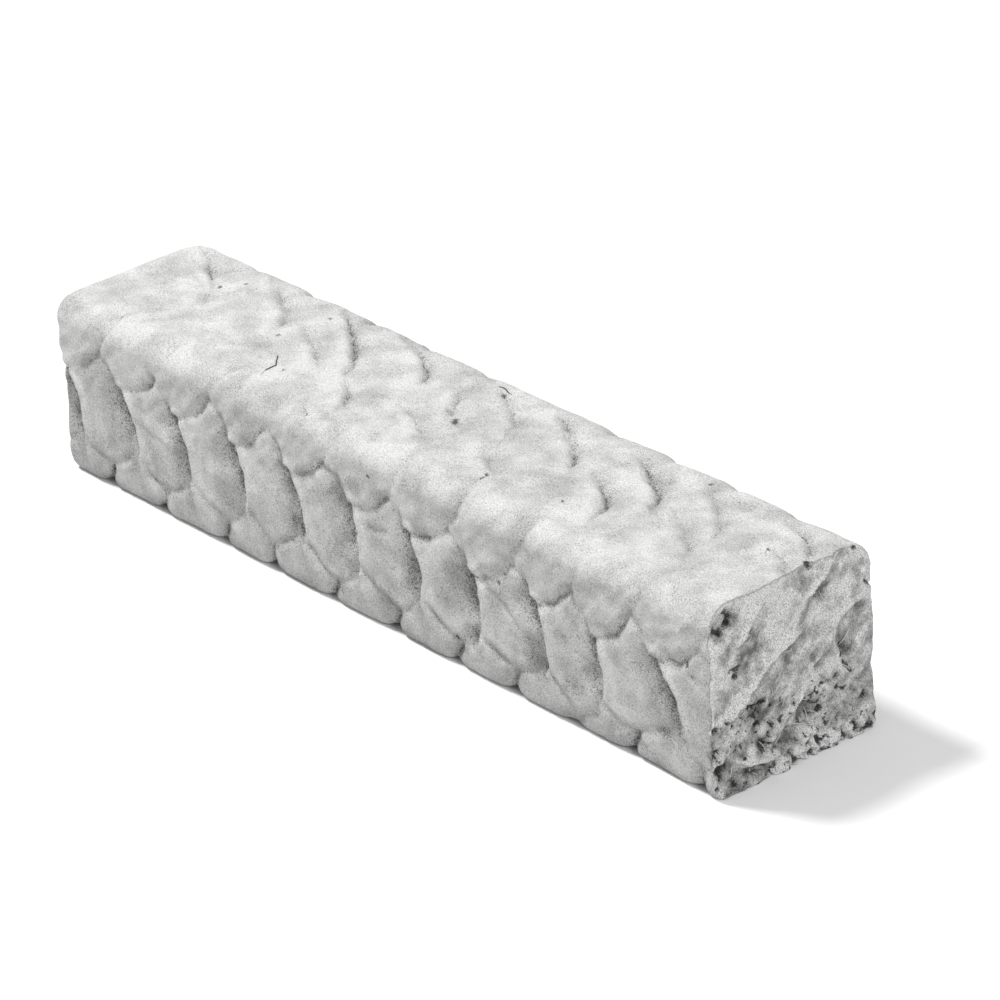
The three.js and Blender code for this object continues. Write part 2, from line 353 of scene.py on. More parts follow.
# A dent: its middle, its half length and half width, its slant in degrees, and how deep it is.
DENTS = [
    (7.0, 17.4, 3.4, 2.0, 45, 0.32), (12.4, 14.0, 2.0, 1.1, -35, 0.45), (18.2, 20.0, 1.6, 0.8, 15, 0.4),
    (8.2, 11.2, 2.4, 0.9, 0, 0.32), (9.0, 7.4, 3.0, 2.4, 30, 0.3), (14.8, 5.2, 1.8, 1.4, 60, 1.2),
    (11.6, 3.6, 2.2, 1.0, 10, 0.9), (17.4, 3.0, 1.8, 0.7, -30, 0.6), (20.6, 12.0, 1.9, 0.6, -75, 0.5),
    (16.8, 11.6, 2.2, 1.2, 50, 0.25), (7.6, 4.6, 1.2, 0.8, -20, 0.4), (7.4, 8.4, 2.4, 1.6, 10, 0.2),
    (14.0, 23.4, 2.4, 1.0, 30, 0.3), (21.6, 3.4, 2.4, 1.2, 30, 0.25), (23.2, 16.4, 1.0, 2.6, 10, 0.25),
]
# A pit: its middle, its radius and how deep it is.
PITS = [
    (4.4, 14.3, 0.6, 0.8), (7.4, 8.5, 0.35, 0.6), (9.8, 8.1, 0.3, 0.5), (12.8, 7.5, 0.32, 0.5),
    (15.0, 6.9, 0.45, 0.6), (16.8, 5.3, 0.5, 0.8), (17.3, 8.0, 0.32, 0.5), (8.0, 3.9, 0.8, 1.5),
    (9.1, 5.0, 0.45, 0.7), (11.9, 4.5, 0.5, 1.0), (19.5, 8.3, 0.4, 0.8), (20.4, 10.6, 0.4, 0.8),
    (20.7, 11.9, 0.45, 0.8), (16.2, 23.4, 0.7, 1.0), (23.5, 4.3, 0.32, 0.6), (0.8, 8.6, 0.5, 0.8),
    (1.0, 6.0, 0.5, 1.0), (0.9, 3.6, 0.6, 1.1), (1.8, 4.0, 0.4, 0.9), (1.1, 2.5, 0.5, 0.9),
    (0.4, 1.6, 0.5, 0.9), (9.1, 1.5, 0.42, 0.7), (8.6, 0.6, 0.55, 0.9), (12.1, 0.7, 0.42, 0.8),
    (13.2, 0.3, 0.5, 0.9), (14.6, 0.3, 0.42, 0.8), (16.1, 1.2, 0.42, 0.7), (19.2, 3.0, 0.35, 0.6),
    (22.8, 23.6, 0.4, 0.4), (5.9, 11.6, 0.35, 0.4), (10.9, 6.2, 0.4, 0.5),
]
# A strand that was cut square, low down by the front side: its dark end's middle and half sizes.
STRAND_END = (4.0, 1.3, 2.9, 1.5)
# The tear, by the upper front corner: its middle, its slant in degrees and its half sizes.
TEAR_PLACE = (2.6, 21.6)
TEAR_SLANT = 30
TEAR_HALF_LENGTH = 2.0
TEAR_HALF_WIDTH = 1.15
# A slit: its line, and how deep and wide all of them are.
SLIT_DEPTH = 0.5
SLIT_WIDTH = 0.22
SLITS = [
    [(6.0, 9.9), (6.6, 9.5), (7.4, 9.35), (8.6, 9.4)], [(19.6, 6.9), (20.0, 6.2), (20.8, 5.8)],
    [(24.1, 18.9), (24.7, 18.2)], [(3.2, 15.2), (4.8, 15.2)], [(20.4, 9.8), (21.7, 8.0)],
]


def turned(across, up, middle_across, middle_up, degrees):
    """Places measured from a middle, along and across a slant."""
    cosine, sine = math.cos(math.radians(degrees)), math.sin(math.radians(degrees))
    across, up = across - middle_across, up - middle_up
    return across * cosine + up * sine, up * cosine - across * sine


def looseness(across):
    """How loose the cut's fibre is: less than 1 towards the back side, where the cut is smoother."""
    return 1 - 0.6 * np.clip((across - 16.5) / 3, 0, 1)


def cut_ground(flat, across, up):
    """The cut's own unevenness, streaked along its slant: its depth, how black it is and how dull."""
    along, over = turned(across, up, 0, 0, CUT_SLANT)
    streaks = lumps(np.stack([along / 4, over], axis=1), 0.9, 16)
    veins = 1 - 2.2 * np.abs(lumps(np.stack([along / 1.6, over], axis=1), 1.8, 37)) ** 0.6
    loose = np.clip((13 - up) / 5, 0.25, 1) * looseness(across)
    depth = 0.5 + 0.14 * lumps(flat, 3.4, 15) + 0.12 * streaks
    depth += loose * (0.16 * lumps(flat, 1.3, 17) + 0.12 * lumps(flat, 0.6, 18)) - 0.1 * veins
    depth -= 0.9 * np.exp(-((up / 3.5) ** 2)) + 0.4 * np.exp(-(((WIDTH - across) / 4) ** 2))
    dull = 0.2 + 0.45 * lumps(flat, 2.4, 19) + 0.5 * loose * lumps(flat, 1.0, 26) - 0.5 * veins
    dull += 0.35 * lumps(np.stack([along / 3, over], axis=1), 0.7, 25)
    # A darker patch under the long ridge is painted shade, and the cut is painted paler towards its top.
    dull += 0.2 * np.exp(-(((across - 9) / 7) ** 2) - ((up - 8) / 4) ** 2)
    dull -= 0.3 * np.clip((up - 13) / 6, 0, 1)
    return np.array([depth, np.zeros(len(up)), dull])


def cut_ridges(across, up):
    """What the ridges add. Each falls off gently above and steeply below, is painted pale as a painted
    highlight, and paints shade on what is under it."""
    depth, black, dull = np.zeros((3, len(up)))
    for line, high_up, wide in RIDGES:
        gap, share, side = distance_to(line, across, up)
        high_up = high_up * np.interp(share, (0, 0.2, 0.8, 1), (0.2, 1, 1, 0.2))
        above = np.exp(-((gap / wide) ** 1.5))
        below = np.exp(-((gap / 0.3) ** 2))
        depth -= high_up * np.where(side > 0, above, below)
        depth += 0.4 * high_up * np.exp(-gap / 1.6) * (side < 0)
        dull -= 2.6 * high_up * np.where(side > 0, above**1.5, below)
        dull += 0.8 * high_up * np.exp(-gap / 1.4) * (side < 0)
    return np.array([depth, black, dull])


def cut_hollows(across, up):
    """What the dents, the pits and the slits add. Dents are painted dull inside, and pits and slits black, as
    painted shade.
    """
    depth, black, dull = np.zeros((3, len(up)))
    for middle_across, middle_up, long, wide, slant, deep in DENTS:
        along, over = turned(across, up, middle_across, middle_up, slant)
        inside = np.exp(-(((along / long) ** 2 + (over / wide) ** 2) ** 1.6))
        depth += deep * inside
        dull += min(1.4, 0.5 + 0.6 * deep) * inside
    for middle_across, middle_up, radius, deep in PITS:
        inside = np.exp(-((((across - middle_across) ** 2 + (up - middle_up) ** 2) / radius**2) ** 1.6))
        depth += deep * inside
        black += 1.3 * inside
    for line in SLITS:
        inside = np.exp(-((distance_to(line, across, up)[0] / SLIT_WIDTH) ** 2))
        depth += SLIT_DEPTH * inside
        black += 1.2 * inside
    return np.array([depth, black, dull])


def cut_crumbs(flat, across, up):
    """What the broken fibre low down adds: black specks, a crumbly fringe along the lower edge, and the end
    of the strand that was cut square. The specks and the fringe's hollows are painted black, as painted
    shade."""
    low_down = np.clip((12 - up) / 7, 0.03, 1) * looseness(across)
    specks = np.clip(5 * (lumps(flat, 0.42, 20) + 0.4 * lumps(flat, 2.4, 29) - 0.46), 0, 1) * low_down
    fringe = np.clip((2.4 - up) / 0.8, 0, 1) * np.clip((across - 8) / 1.5, 0, 1)
    ragged = lumps(flat, 0.9, 30) + 0.5 * lumps(flat, 0.45, 36)
    middle_across, middle_up, half_across, half_up = STRAND_END
    strand = np.exp(-(np.hypot((across - middle_across) / half_across, (up - middle_up) / half_up) ** 4))
    depth = 0.4 * specks + fringe * (0.6 * np.clip(3 * ragged, 0, 1) - 0.1) + 0.25 * strand
    black = 2.0 * specks + 1.1 * fringe * np.clip(3 * ragged - 0.5, 0, 1)
    black += strand * np.clip(2.2 * lumps(flat, 0.4, 38), 0, 0.9)
    return np.array([depth, black, 0.9 * strand - 1.3 * fringe * (ragged < 0)])


def cut_rim(flat, across, up):
    """What the tear adds, a hole painted dull with a ragged edge painted black, both painted shade, and what
    the rim adds, which is rolled over and painted pale, a painted highlight."""
    along, over = turned(across, up, *TEAR_PLACE, TEAR_SLANT)
    ragged = np.hypot(along / TEAR_HALF_LENGTH, over / TEAR_HALF_WIDTH) + 0.22 * lumps(flat, 0.8, 27)
    hole = np.exp(-(ragged**4))
    edge = ragged - 0.8
    above_and_in_front = (HEIGHT - up + np.clip(across - 13, 0, 9), across + np.clip(9 - up, 0, 9))
    to_rim = np.clip(np.minimum(*above_and_in_front), 0, None)
    depth = 0.9 * hole + 0.5 * np.exp(-((edge / 0.25) ** 2)) + 0.35 * np.exp(-to_rim / 0.6)
    black = 1.3 * np.exp(-((edge / 0.27) ** 2)) * np.clip(1 - 0.5 * lumps(flat, 1.6, 28), 0.7, 1)
    dull = 0.8 * hole - 0.9 * np.exp(-((to_rim / 1.1) ** 2)) * np.clip(ragged - 1, 0, 1)
    return np.array([depth, black, dull])


def cut_depth(y, z):
    """How deep the cut lies behind its plane, how black its holes are painted as painted shade, and how dull
    it is, for places on it."""
    flat = np.stack([y + WIDTH / 2, z], axis=1)
    across = wavering(flat[:, 0], flat, *CUT_WAVER, 11)
    up = wavering(flat[:, 1], flat, *CUT_WAVER, 13)
    parts = [cut_ground(flat, across, up), cut_ridges(across, up), cut_hollows(across, up),
             cut_crumbs(flat, across, up), cut_rim(flat, across, up)]
    depth, black, dull = sum(parts)
    return np.clip(depth, -0.7, 2.6), np.clip(black, 0, 1), np.clip(dull, -1.2, 1.6)


def far_depth(y, z):
    """The same for the far end, a plain clean cut with only the roughness of cut fibre."""
    flat = np.stack([y, z], axis=1)
    depth = 0.4 + 0.14 * lumps(flat, 3.0, 21) + 0.1 * lumps(flat, 1.1, 22) + 0.05 * lumps(flat, 0.5, 23)
    black = np.clip(lumps(flat, 0.5, 24) - 0.4, 0, 1)
    return np.clip(depth, 0, 1), black, 0.3 + 0.4 * lumps(flat, 2.4, 25)


# The skin is a grid, round the section and along it. At each end it rounds over into the cut, and it ends as
# deep as the cut is just inside the rim. The ends are closed by rings that shrink to the middle.
STEPS_ROUND = 260
STEPS_ALONG = 350
RINGS_NEAR = 140
RINGS_FAR = 20
RIM_INSET = 0.5
round_once = np.arange(STEPS_ROUND) / STEPS_ROUND * GIRTH
rim_y, rim_z = on_section(round_once, np.full(STEPS_ROUND, -RIM_INSET))
near_x = NEAR_END - cut_depth(rim_y, rim_z)[0]
far_x = FAR_END + far_depth(rim_y, rim_z)[0]
share = np.linspace(0, 1, STEPS_ALONG + 1)[:, None]
x = (far_x + share * (near_x - far_x)).ravel()
walked = np.tile(round_once, STEPS_ALONG + 1)
y, z = on_section(walked, np.zeros(len(walked)))
places = np.stack([x, y, z], axis=1)
relief, creased, dulled = crease_relief(walked, NEAR_END - x, places)
relief *= 1 - 0.7 * np.exp(-(NEAR_END - x) / 1.8)
height = 0.1 - relief + 0.15 * lumps(places, 4.5, 31)
height += 0.06 * lumps(places, 2.0, 32) + 0.04 * lumps(places, 0.9, 33)

# Fibres lie along each strand, so its skin is streaked: up and down on the sides' middle strands, and at a
# slant on the ones over the corners and along the top.
from_edge = np.mod(walked, HALF_GIRTH) - EDGE_TO_WALK
back = NEAR_END - x
upright = lumps(np.stack([from_edge / 5 + 0.05 * back, back], axis=1), 0.8, 34)
slanting = lumps(np.stack([(from_edge - back) / 5, 0.7 * (from_edge + back)], axis=1), 0.8, 35)
streak = upright * np.interp(from_edge, (0, 2, 12, 15), (0, 1, 1, 0))
streak += slanting * np.interp(from_edge, (11, 15, 21, 26, 36, 42), (0, 1.8, 1.8, 1, 0.5, 0))
height += 0.06 * streak
# Besides its streaks, the skin is painted paler over the upper front corner, and by the half turn over the
# lower back one: a painted highlight.
dulled += 0.2 * streak - 0.3 * np.interp(from_edge, (13, 19, 30), (0, 1, 0))

# The darker patches, partly painted shade and partly soiling, with the top's grey ones counted on from the
# front's.
grey_on_top = [(patch[0], patch[1] + SIDE_SPAN, *patch[2:]) for patch in GREY]
for middle_back, middle_up, half_back, half_up, dark in SHADE_AND_SOIL + grey_on_top:
    off = walked - EDGE_TO_WALK - middle_up
    shade_and_soil = dark * np.exp(-(((back - middle_back) / half_back) ** 2) - (off / half_up) ** 2)
    creased = np.maximum(creased, 0.7 * shade_and_soil)
    dulled += 0.5 * shade_and_soil
# The pinholes are only painted dark, painted shade in holes that the surface doesn't have.
for middle_back, middle_walked in PINHOLES:
    off = (back - middle_back) ** 2 + (walked - middle_walked) ** 2
    creased += 1.5 * np.exp(-off / PINHOLE_RADIUS**2)

# The rim rolls over softly where the front and the top meet the cut, and lower down it is crisp. The rolls
# pressed the crowns, so nothing stands far out of the section.
MOST_PROUD = 0.3
soft = np.clip((z - 8) / 4, 0, 1) * np.clip((4 - y) / 12, 0, 1)
from_cut = np.clip(NEAR_END - x, 0, None)
height -= (0.25 + 0.55 * soft) * np.exp(-from_cut / (0.4 + 0.6 * soft)) + 0.4 * np.exp(-(x - FAR_END) / 0.6)
height = np.where(height > 0, MOST_PROUD * np.tanh(height / MOST_PROUD), height)

# The lower corners are squarer than the upper ones, the strands splay a little where they were cut, and the
# sides taper in a little towards the underside.
SQUARENESS = 6
SPLAY = 0.3
SPLAY_REACH = 4
TAPER = 0.045
TAPER_TOP = 6.5
for corner in (0, 2 * SIDE_SPAN + TOP_SPAN):
    off = np.mod(walked - corner + HALF_GIRTH, GIRTH) - HALF_GIRTH
    bend = np.clip(off / CORNER_RADIUS, -math.pi / 4, math.pi / 4) + math.pi / 4
    rounded = (np.cos(bend) ** SQUARENESS + np.sin(bend) ** SQUARENESS) ** (-1 / SQUARENESS)
    height += CORNER_RADIUS * (rounded - 1)
height += SPLAY * np.exp(-from_cut / SPLAY_REACH) * (1 - z / HEIGHT)
y, z = on_section(walked, height)
y *= 1 - TAPER * np.clip(1 - z / TAPER_TOP, 0, 1) ** 2
skin = np.stack([x, y, np.clip(z, 0, None)], axis=1)


def end_cap(rim, rings, depth_at, plane, facing):
    """Rings of places that close an end, from just inside its rim to its middle, and their tones."""
    middle = np.array([0, HEIGHT / 2])
    inward = 1 - np.arange(1, rings) / rings
    flat = (middle + (rim[None, :, 1:] - middle) * inward[:, None, None]).reshape(-1, 2)
    flat = np.concatenate([flat, middle[None, :]])
    depth, black, dull = depth_at(flat[:, 0], flat[:, 1])
    return np.column_stack([plane - facing * depth, flat]), black, dull


near_cap, near_black, near_dull = end_cap(skin[-STEPS_ROUND:], RINGS_NEAR, cut_depth, NEAR_END, 1)
far_cap, far_black, far_dull = end_cap(skin[:STEPS_ROUND], RINGS_FAR, far_depth, FAR_END, -1)
column = np.arange(STEPS_ROUND)
onward = (column + 1) % STEPS_ROUND


def band(lower, upper):
    """Four-cornered faces between two rings of places."""
    return np.stack([lower[column], lower[onward], upper[onward], upper[column]], axis=1)


def cap_faces(rim, first, rings, facing):
    """Faces of an end, from its rim inwards, given where its own places begin."""
    found = []
    for ring in range(rings - 1):
        inner = first + ring * STEPS_ROUND + column
        found.append(band(inner, rim) if facing > 0 else band(rim, inner))
        rim = inner
    middle = np.full(STEPS_ROUND, first + (rings - 1) * STEPS_ROUND)
    fan = np.stack([rim[column], rim[onward], middle], axis=1)
    fan = fan if facing < 0 else fan[:, ::-1]
    return [face for quads in found for face in quads.tolist()] + fan.tolist()


rings_along = np.arange((STEPS_ALONG + 1) * STEPS_ROUND).reshape(-1, STEPS_ROUND)
skin_faces = []
for ring, after in zip(rings_along, rings_along[1:]):
    skin_faces += band(after, ring).tolist()


def make_piece(name, points, faces, kept, hidden=0):
    """A mesh piece of the packing, in metres, with the values that its material reads. The last of its
    faces may be hidden ones, left flat so that they don't turn the shading of the ones beside them."""
    mesh = bpy.data.meshes.new(name)
    mesh.from_pydata((points / 1000).tolist(), [], faces)
    for kept_name, values in kept.items():
        layer = mesh.attributes.new(kept_name, "FLOAT", "POINT")
        layer.data.foreach_set("value", np.ascontiguousarray(values, dtype=np.float32))
    mesh.polygons.foreach_set("use_smooth", np.arange(len(faces)) < len(faces) - hidden)
    mesh.update()
    piece = bpy.data.objects.new(name, mesh)
    bpy.context.scene.collection.objects.link(piece)
    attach(piece, "root")
    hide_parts("braided_packing")
    return piece


# The skin is closed behind the cut by a tuck that stays hidden under the cut's own piece.
TUCK = 4
TUCK_SHARE = 0.93
TUCK_FACES = 2 * STEPS_ROUND
tuck = skin[-STEPS_ROUND:].copy()
tuck[:, 0] = NEAR_END - TUCK
tuck[:, 1:] = (0, HEIGHT / 2) + (tuck[:, 1:] - (0, HEIGHT / 2)) * TUCK_SHARE
tuck_middle = np.array([[NEAR_END - TUCK, 0, HEIGHT / 2]])
skin_points = np.concatenate([skin, far_cap, tuck, tuck_middle])
faces = skin_faces + cap_faces(rings_along[0], len(skin), RINGS_FAR, -1)
first_tuck = len(skin) + len(far_cap)
faces += cap_faces(rings_along[-1], first_tuck, 2, 1)
blank = np.zeros(len(tuck) + 1)
braid = make_piece("packing_braid", skin_points, faces, {
    "crease": np.concatenate([creased, far_black, blank]),
    "dull": np.concatenate([dulled, far_dull, blank]),
}, TUCK_FACES)

# Dusted fibre. The strands' fibre is matte and off-white, with lubricant and dust worked into it by the
# rolls. Its crowns are painted chalky pale, a painted highlight, and its low places dull, painted shade. A
# fine dark grain lies all over, and dark specks along the creases are partly dirt and partly painted shade.
def linear(hex_colour):
    """Turns an sRGB hex colour into the linear one that a material takes."""
    parts = [int(hex_colour[i:i + 2], 16) / 255 for i in (1, 3, 5)]
    return [p / 12.92 if p <= 0.04045 else ((p + 0.055) / 1.055) ** 2.4 for p in parts] + [1]


def new_material(name):
    """An empty material with its shader joined to its output."""
    made = bpy.data.materials.new(name)
    made.use_nodes = True
    return made, made.node_tree.nodes["Principled BSDF"]


def add(tree, kind, settings=(), links=()):
    """Adds a node with its settings and links. A key is a socket's name or number, or a dot and the name of
    a property."""
    node = tree.nodes.new(kind)
    for key, value in dict(settings).items():
        if key.startswith("."):
            setattr(node, key[1:], value)
        else:
            node.inputs[int(key) if key.isdigit() else key].default_value = value
    for key, source in dict(links).items():
        tree.links.new(source, node.inputs[int(key) if key.isdigit() else key])
    return node


def per_metre(size_mm):
    """A noise scale whose lumps are about this many millimetres across."""
    return 1000 / size_mm


# Fibre ends and dust show as a grain of about this size, and the dark specks along a crease, partly dirt and
# partly painted shade, break up in bits.
GRAIN_MM = 0.17
DARK_BITS_MM = 0.7


def fibre_material(name, pale, dull, deep, mottling, scatter, clean, grit, pale_limit):
    """Matte fibre, painted pale where it stands up and dull where it lies low, as painted highlight and
    painted shade, with deep specks scattered in creases, partly dirt and partly painted shade.
    It takes three colours, the mottling's size in mm, how far the specks scatter, how plain the grain is on
    pale fibre, how dark it is on dull fibre, and how much of the fibre is still pale."""
    made, shader = new_material(name)
    tree = made.node_tree
    place = add(tree, "ShaderNodeTexCoord").outputs["Object"]
    crease = add(tree, "ShaderNodeAttribute", {".attribute_name": "crease"}).outputs["Fac"]
    shade_and_tone = add(tree, "ShaderNodeAttribute", {".attribute_name": "dull"}).outputs["Fac"]

    grain = add(tree, "ShaderNodeTexNoise", {"Scale": per_metre(GRAIN_MM), "Detail": 3, "Roughness": 0.8},
                {"Vector": place})
    blotch = add(tree, "ShaderNodeTexNoise", {"Scale": per_metre(mottling), "Detail": 4, "Roughness": 0.55},
                 {"Vector": place})

    # The dull value, mostly painted shade and painted highlight with some real streaks and soiling, is mixed
    # with random mottling to pick between the pale and the dull colour.
    shade_and_mottling = add(tree, "ShaderNodeMath", {".operation": "MULTIPLY_ADD", "1": 0.3},
               {"0": shade_and_tone, "2": blotch.outputs["Fac"]})
    shade_and_mottling = add(tree, "ShaderNodeMapRange", {"From Min": pale_limit, "From Max": pale_limit + 0.55},
               {"Value": shade_and_mottling.outputs[0]})
    body = add(tree, "ShaderNodeMix", {".data_type": "RGBA", "6": linear(pale), "7": linear(dull)},
               {"0": shade_and_mottling.outputs[0]})
    speck = add(tree, "ShaderNodeMapRange",
                {"From Min": 0.36, "From Max": 0.58, "To Min": grit, "To Max": 1.06},
                {"Value": grain.outputs["Fac"]})
    speckled = add(tree, "ShaderNodeMapRange", {"To Min": clean, "To Max": 1.0}, {"Value": shade_and_mottling.outputs[0]})
    speck = add(tree, "ShaderNodeMix", {".data_type": "FLOAT", "2": 1.0},
                {"0": speckled.outputs[0], "3": speck.outputs[0]})
    grained = add(tree, "ShaderNodeVectorMath", {".operation": "SCALE"},
                  {"0": body.outputs[2], "3": speck.outputs[0]})
    uneven = add(tree, "ShaderNodeMath", {".operation": "MULTIPLY_ADD", "1": -2 * scatter, "2": scatter},
                 {"0": grain.outputs["Fac"]})
    # The crease value darkens the colour towards the deep one: dirt and painted shade in the creases, and
    # painted shade at the pinholes and in the cut's pits.
    darkening = add(tree, "ShaderNodeMath", {".operation": "ADD"}, {"0": crease, "1": uneven.outputs[0]})
    broken = add(tree, "ShaderNodeTexNoise", {"Scale": per_metre(DARK_BITS_MM), "Detail": 2}, {"Vector": place})
    darkening = add(tree, "ShaderNodeMath", {".operation": "MULTIPLY_ADD", "1": 0.9},
                   {"0": broken.outputs["Fac"], "2": darkening.outputs[0]})
    shade_and_dirt = add(tree, "ShaderNodeMapRange", {"From Min": 0.9, "From Max": 1.4, "To Max": 0.92},
                {"Value": darkening.outputs[0]})
    shade = add(tree, "ShaderNodeMix", {".data_type": "RGBA", "7": linear(deep)},
                {"0": shade_and_dirt.outputs[0], "6": grained.outputs[0]})
    tree.links.new(shade.outputs[2], shader.inputs["Base Color"])

    lift = add(tree, "ShaderNodeMath", {".operation": "MULTIPLY_ADD", "1": 1.2},
               {"0": blotch.outputs["Fac"], "2": grain.outputs["Fac"]})
    bump = add(tree, "ShaderNodeBump", {"Strength": 1, "Distance": 0.00022}, {"Height": lift.outputs[0]})
    tree.links.new(bump.outputs[0], shader.inputs["Normal"])
    shader.inputs["Roughness"].default_value = 0.95
    shader.inputs["Specular IOR Level"].default_value = 0.2
    shader.inputs["Sheen Weight"].default_value = 0.1
    return made


dusted_fibre = fibre_material("dusted_fibre", "#f2f2f1", "#b8b8b7", "#4c4c4b", 4.5, 1.5, 0.6, 0.3, 0.33)
braid.data.materials.append(dusted_fibre)

# The cut end's piece. It has the skin's last ring for its rim, and it is closed by a plain back of its own
# behind the cut, a little nearer to it than the skin's tuck.
BACK_GAP = 0.6
rim = skin[-STEPS_ROUND:]
back_ring = tuck.copy()
back_ring[:, 0] = NEAR_END - TUCK + BACK_GAP
back_middle = tuck_middle + (BACK_GAP, 0, 0)
cut_points = np.concatenate([rim, near_cap, back_ring, back_middle])
cut_faces = cap_faces(column, STEPS_ROUND, RINGS_NEAR, 1)
cut_faces += cap_faces(column, STEPS_ROUND + len(near_cap), 2, -1)
_, rim_black, rim_dull = cut_depth(rim[:, 1], rim[:, 2])
cut_end = make_piece("packing_cut_end", cut_points, cut_faces, {
    "crease": np.concatenate([rim_black, near_black, blank]),
    "dull": np.concatenate([rim_dull, near_dull, blank]),
}, TUCK_FACES)

# Cut fibre. Inside, the fibre never met the rolls or the dust, so it is rougher and duller. Its dull and deep
# colours also carry the painted shade in its dents, under its ridges and in its pits, which are painted
# almost black.
cut_fibre = fibre_material("cut_fibre", "#fafaf9", "#7c7c7b", "#101010", 1.2, 0.5, 0.9, 0.3, 0.4)
cut_end.data.materials.append(cut_fibre)

# Loose fibres. Where the blade broke strands instead of shearing them, single fibres bridge the pits and
# stand off the edges of the cut.
HAIR_SIDES = 5
LOOSE_RADIUS = 0.04
LOOSE_COUNT = 60


def tube(path, radius):
    """Points and faces of a hair along a path, thinning almost to nothing at both ends."""
    path = np.array(path, dtype=float)
    heading = np.gradient(path, axis=0)
    heading /= np.linalg.norm(heading, axis=1)[:, None]
    aside = np.cross(heading, (0.3, 0.5, 0.81))
    aside /= np.linalg.norm(aside, axis=1)[:, None]
    upward = np.cross(heading, aside)
    turn = np.arange(HAIR_SIDES) / HAIR_SIDES * 2 * math.pi
    thin = radius * np.sqrt(np.clip(1 - np.linspace(-1, 1, len(path)) ** 4, 0.02, 1))
    circle = np.cos(turn)[None, :, None] * aside[:, None, :]
    circle += np.sin(turn)[None, :, None] * upward[:, None, :]
    points = (path[:, None, :] + thin[:, None, None] * circle).reshape(-1, 3)
    faces = [list(range(HAIR_SIDES))[::-1], list(range(len(points) - HAIR_SIDES, len(points)))]
    for ring in range(len(path) - 1):
        for side in range(HAIR_SIDES):
            near, far = ring * HAIR_SIDES, (ring + 1) * HAIR_SIDES
            after = (side + 1) % HAIR_SIDES
            faces.append([near + side, near + after, far + after, far + side])
    return points, faces


def bundle(name, hairs, radius):
    """One piece made of several hairs."""
    points, faces = [], []
    for path in hairs:
        hair_points, hair_faces = tube(path, radius)
        shift = sum(map(len, points))
        points.append(hair_points)
        faces += [[index + shift for index in face] for face in hair_faces]
    return make_piece(name, np.concatenate(points), faces, {})


def bent(start, end, sag, steps=9):
    """A path from start to end that bends aside by sag at its middle."""
    share = np.linspace(0, 1, steps)[:, None]
    return (1 - share) * start + share * end + 4 * share * (1 - share) * sag


def on_cut(across, up, proud):
    """A place at the cut end, a little proud of its plane or, if negative, behind it."""
    return np.array([NEAR_END + proud, across - WIDTH / 2, up])


chance = np.random.default_rng(8)
loose = [
    bent(on_cut(12.2, 5.0, -0.5), on_cut(16.4, 3.5, -0.6), np.array([0.3, 0, 0.1])),
    bent(on_cut(12.6, 4.5, -0.5), on_cut(16.8, 3.0, -0.7), np.array([0.3, 0, 0.2])),
    bent(on_cut(14.4, 6.3, -0.6), on_cut(14.9, 3.9, -0.7), np.array([0.2, 0.1, 0])),
    bent(on_cut(20.2, 9.6, -0.4), on_cut(21.6, 8.2, -0.4), np.array([0.2, 0.1, 0.1])),
]
for _ in range(LOOSE_COUNT):
    start = chance.uniform((1, 0.8), (24, 23))
    step = chance.normal(0, 0.8, 2) + (0.6, 0.5)
    ends = np.array([start, start + step])
    depth = cut_depth(ends[:, 0] - WIDTH / 2, ends[:, 1])[0]
    lift = chance.uniform(0.1, 0.3)
    loose.append(bent(on_cut(*ends[0], 0.03 - depth[0]), on_cut(*ends[1], 0.03 - depth[1]),
                      np.array([lift, *chance.normal(0, 0.25, 2)])))
loose_fibres = bundle("loose_fibres", loose, LOOSE_RADIUS)


def hair_material(name, darker, lighter, mottling, roughness):
    """A single fibre's material, toned unevenly. The mottling's size is in mm."""
    made, shader = new_material(name)
    grain = add(made.node_tree, "ShaderNodeTexNoise", {"Scale": per_metre(mottling)})
    tone = add(made.node_tree, "ShaderNodeMix",
               {".data_type": "RGBA", "6": linear(darker), "7": linear(lighter)},
               {"0": grain.outputs["Fac"]})
    made.node_tree.links.new(tone.outputs[2], shader.inputs["Base Color"])
    shader.inputs["Roughness"].default_value = roughness
    return made


# Pale fibre. Single fibres of the braid itself, clean inside the cut and a little glossier than a strand.
pale_fibre = hair_material("pale_fibre", "#bcbcbb", "#eeeeed", 0.4, 0.8)
loose_fibres.data.materials.append(pale_fibre)

# Dark hairs. Two stray hairs of another fibre lie on the top, and their places follow the skin that is under
# them.
DARK_RADIUS = 0.09
DARK_LIFT = 0.04
DARK_PATHS = [
    [(59.8, 21.6), (59.2, 21.8), (58.7, 21.8), (58.1, 21.6), (57.1, 21.4)],
    [(85.9, 8.5), (85.6, 8.5), (84.7, 7.5), (83.8, 6.7), (83.9, 6.0), (83.8, 5.2), (83.2, 3.9)],
]
top_skin = skin[skin[:, 2] > HEIGHT / 2]


def on_top(back, inward):
    """A place just on the top, back from the cut end and in from the front edge."""
    place = np.array([NEAR_END - back, inward - WIDTH / 2])
    under = top_skin[np.argmin(np.hypot(*(top_skin[:, :2] - place).T))]
    return np.array([*place, under[2] + DARK_LIFT])


dark_hairs = bundle("dark_hairs", [[on_top(*place) for place in path] for path in DARK_PATHS], DARK_RADIUS)

# Dark fibre. A coarse hair of animal or synthetic fibre that was picked up from the bench.
dark_fibre = hair_material("dark_fibre", "#2e2e2e", "#4c4c4b", 0.5, 0.7)
dark_hairs.data.materials.append(dark_fibre)

